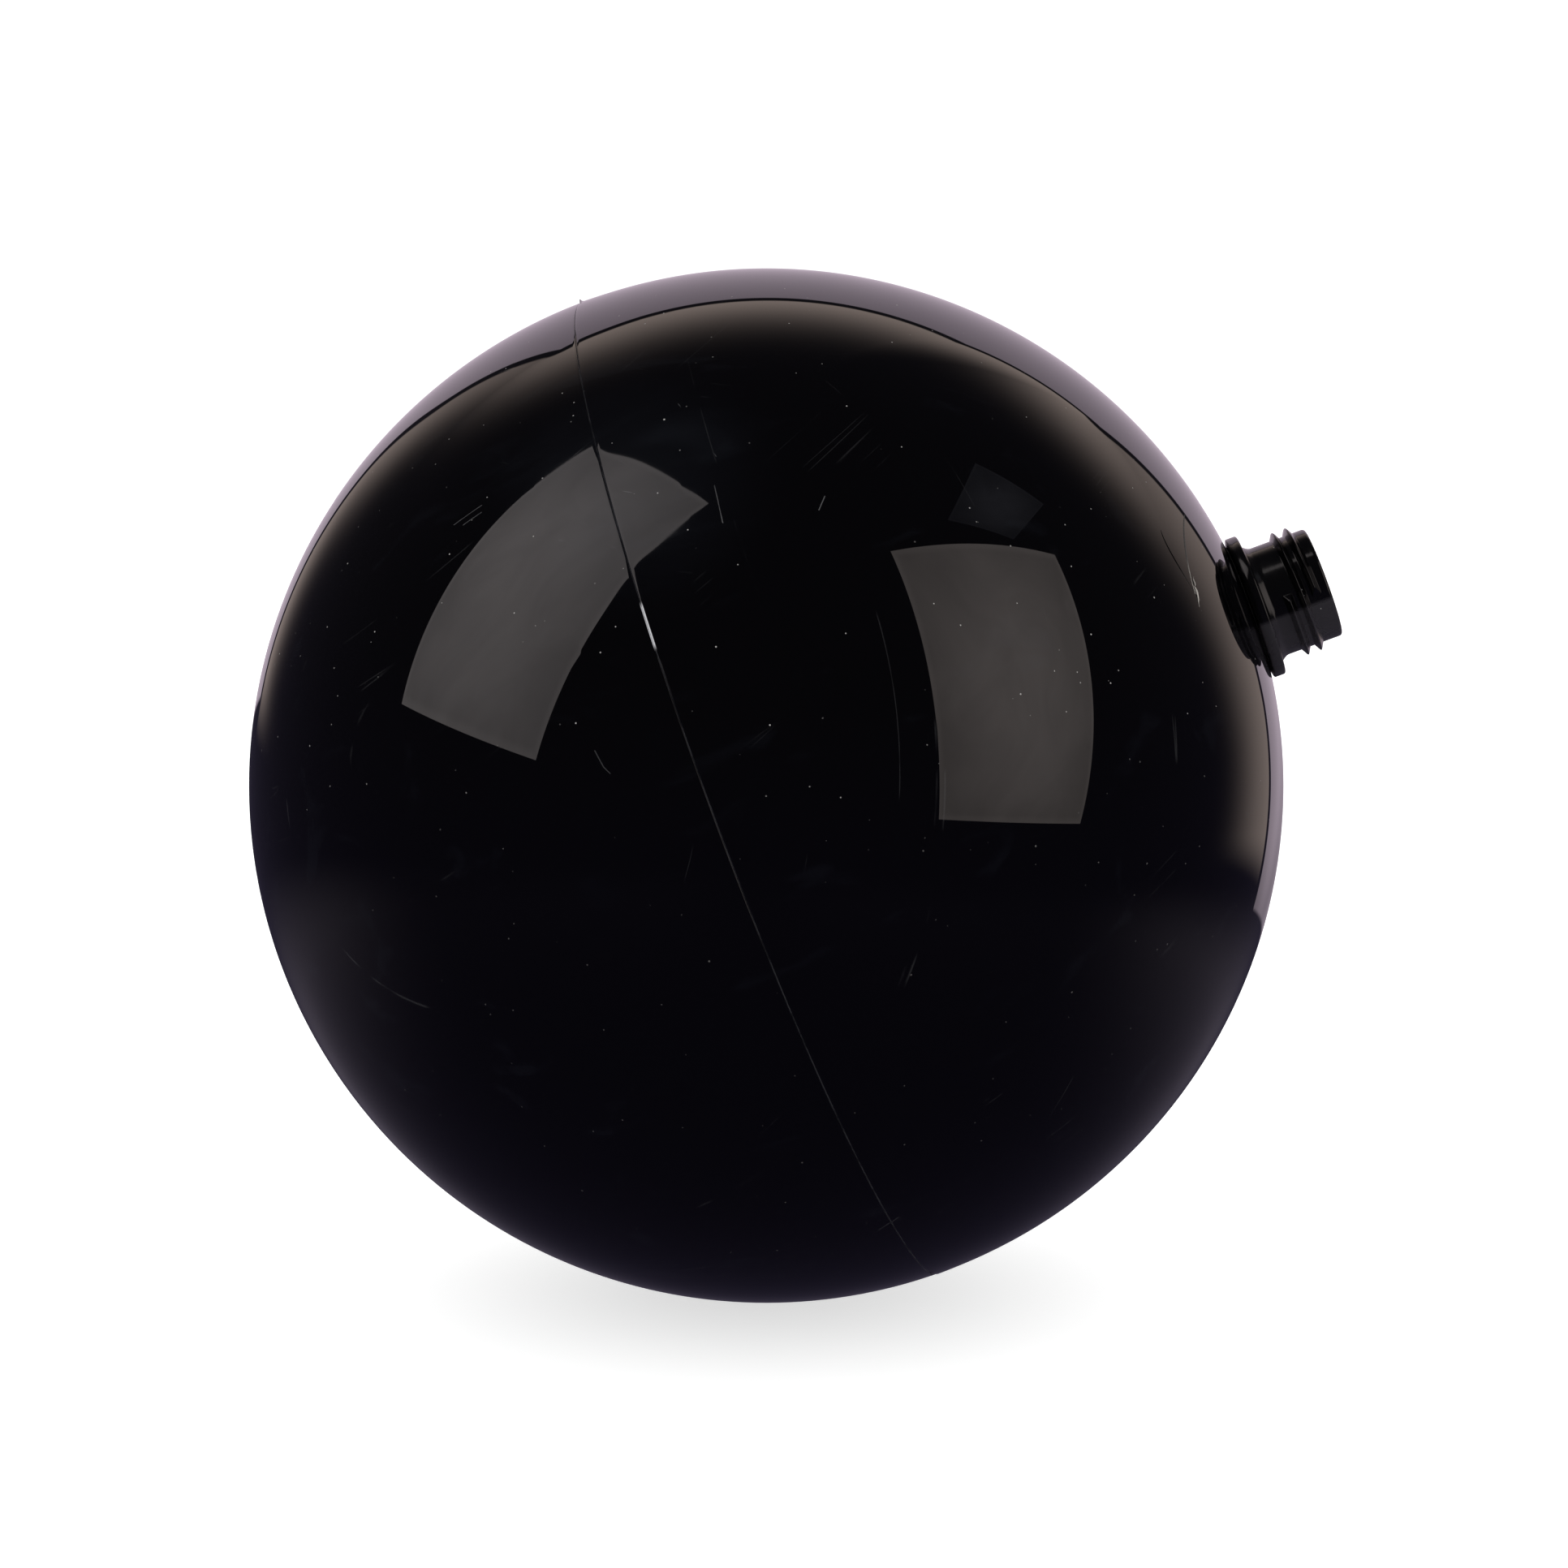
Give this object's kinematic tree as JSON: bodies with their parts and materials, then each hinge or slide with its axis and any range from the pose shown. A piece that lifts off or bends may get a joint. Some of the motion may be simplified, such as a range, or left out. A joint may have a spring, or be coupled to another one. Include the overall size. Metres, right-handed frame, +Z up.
{
  "type": "case opening friction ball",
  "caption": "Hollow hard gloss ball made of two half shells joined at a seam, with a flanged threaded filling neck at one pole and a spring-loaded check valve inside.",
  "frame": {"origin": "centre of the ball", "axes": "+Z up as the ball rests on a table; the neck's axis lies in the XZ plane, pointing 20.5 degrees up from +X; the seam's plane is square to it; the bottom of the ball is at Z = -40 mm"},
  "size_m": [0.0844, 0.08, 0.08],
  "materials": {
    "shell_plastic": "polished, hard, near-black",
    "neck_plastic": "moulded, semi-gloss, near-black",
    "cement": "set solvent cement, smooth",
    "seal_rubber": "matt",
    "nut_plastic": "moulded, matt",
    "washer_steel": "tumbled",
    "valve_brass": "turned",
    "spring_steel": "drawn wire"
  },
  "bodies": {
    "ball": {"blind_side_shell": "shell_plastic", "neck_side_shell": "shell_plastic", "seam_weld_bead": "cement", "neck_fitting": "neck_plastic", "neck_gasket": "seal_rubber", "lock_washer": "washer_steel", "lock_nut": "nut_plastic", "valve_seat": "valve_brass", "seat_o_ring": "seal_rubber", "valve_spring": "spring_steel", "spring_retainer": "valve_brass"},
    "poppet": {"valve_poppet": "valve_brass", "poppet_seal": "seal_rubber"}
  },
  "joints": [
    {"name": "valve_travel", "type": "slide", "parent": "ball", "child": "poppet", "axis": [-0.9367, 0, -0.3502], "range_m": [0, 0.0016], "stiffness_N_per_m": 400, "springref_m": -0.001, "deforming": ["valve_spring"]}
  ]
}
